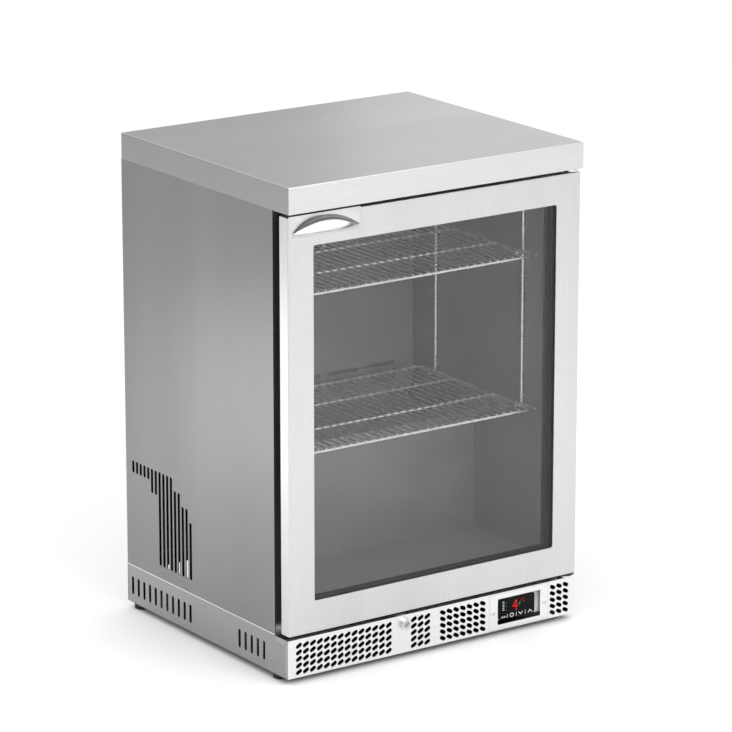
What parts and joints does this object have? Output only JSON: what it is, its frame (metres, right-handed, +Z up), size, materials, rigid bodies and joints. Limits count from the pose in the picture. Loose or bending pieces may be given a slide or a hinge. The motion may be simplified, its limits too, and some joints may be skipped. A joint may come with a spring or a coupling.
{
  "type": "under counter fridge",
  "caption": "Compact stainless steel under-counter fridge with a framed glass door, wire shelves, a ventilated base with lock and touch controller, and its cooling system inside.",
  "frame": {"origin": "centre of the footprint at floor level, under the middle of the overall box", "axes": "+X to the viewer's right seen from the front, +Y to the back, +Z up; the door faces -Y"},
  "size_m": [0.6, 0.537, 0.85],
  "materials": {
    "case_steel": "fine vertical grain",
    "dull_steel": "galvanised sheet",
    "liner": "stucco satin",
    "chrome": "bright",
    "rod_chrome": "satin nickel on steel wire",
    "black_plastic": "matte",
    "display": "gloss, printed touch marks",
    "white_plastic": "matte",
    "core_board": "raw board",
    "foam": null,
    "gasket": "soft matte",
    "rubber": "matte",
    "glass": "clear",
    "black_paint": "satin",
    "motor_iron": "raw",
    "fin_aluminium": "thin fins",
    "copper": "copper tube",
    "fan_plastic": "moulded"
  },
  "bodies": {
    "cabinet": {"worktop": "case_steel", "worktop_core": "core_board", "side_panel_left": "case_steel", "side_panel_right": "case_steel", "back_panel": "dull_steel", "rear_cover": "dull_steel", "base_tray": "dull_steel", "base_skirt_left": "case_steel", "base_skirt_right": "case_steel", "body_floor": "case_steel", "front_grille": "case_steel", "controller_bezel": "case_steel", "cabinet_screws": "chrome", "controller_bracket": "dull_steel", "controller_body": "black_plastic", "controller_facia": "display", "lock_barrel": "chrome", "lock_nut": "dull_steel", "front_frame": "case_steel", "liner": "liner", "insulation": "foam", "compartment_wall": "dull_steel", "evaporator_cover": "liner", "fan_guard": "rod_chrome", "evaporator_coil": "fin_aluminium", "evaporator_fan_motor": "black_plastic", "evaporator_tray": "liner", "compressor_shell": "black_paint", "compressor_motor": "motor_iron", "compressor_grommets": "rubber", "evaporation_tray": "black_plastic", "condenser_coil": "fin_aluminium", "condenser_shroud": "black_paint", "condenser_fan_motor": "black_paint", "filter_drier": "copper", "refrigerant_pipes": "copper", "junction_box": "black_plastic", "cable_gland": "black_plastic", "shelf_rack_left": "rod_chrome", "shelf_rack_right": "rod_chrome", "hinge_bracket_bottom": "chrome", "hinge_bracket_top": "chrome", "rubber_feet": "rubber", "led_lamp": "white_plastic", "temperature_probe": "black_plastic"},
    "door": {"door_frame": "case_steel", "door_inner_frame": "black_plastic", "door_gasket": "gasket", "glass_outer": "glass", "glass_inner": "glass", "glazing_spacer": "black_plastic", "door_handle": "chrome", "lock_keeper": "dull_steel", "hinge_bushes": "black_plastic", "closer_cartridge": "dull_steel"},
    "lock": {"lock_core": "chrome"},
    "upper_shelf": {"shelf_upper": "rod_chrome"},
    "lower_shelf": {"shelf_lower": "rod_chrome"},
    "evaporator_fan_wheel": {"evaporator_fan": "fan_plastic"},
    "condenser_fan_wheel": {"condenser_fan": "fan_plastic"}
  },
  "joints": [
    {"name": "door_hinge", "type": "hinge", "parent": "cabinet", "child": "door", "pos_m": [0.281, -0.24, 0.443], "axis": [0, 0, 1], "range_deg": [0, 110], "stiffness_Nm_per_rad": 1, "springref_deg": -20.05},
    {"name": "lock_turn", "type": "hinge", "parent": "cabinet", "child": "lock", "pos_m": [-0.062, -0.247, 0.063], "axis": [0, 1, 0], "range_deg": [0, 90]},
    {"name": "upper_shelf_lift", "type": "slide", "parent": "cabinet", "child": "upper_shelf", "axis": [0, 0, 1], "range_m": [0, 0.015]},
    {"name": "lower_shelf_lift", "type": "slide", "parent": "cabinet", "child": "lower_shelf", "axis": [0, 0, 1], "range_m": [0, 0.015]},
    {"name": "evaporator_fan_spin", "type": "hinge", "parent": "cabinet", "child": "evaporator_fan_wheel", "pos_m": [0, 0.162, 0.665], "axis": [0, 1, 0], "continuous": true},
    {"name": "condenser_fan_spin", "type": "hinge", "parent": "cabinet", "child": "condenser_fan_wheel", "pos_m": [0.22, 0.143, 0.12], "axis": [1, 0, 0], "continuous": true}
  ]
}
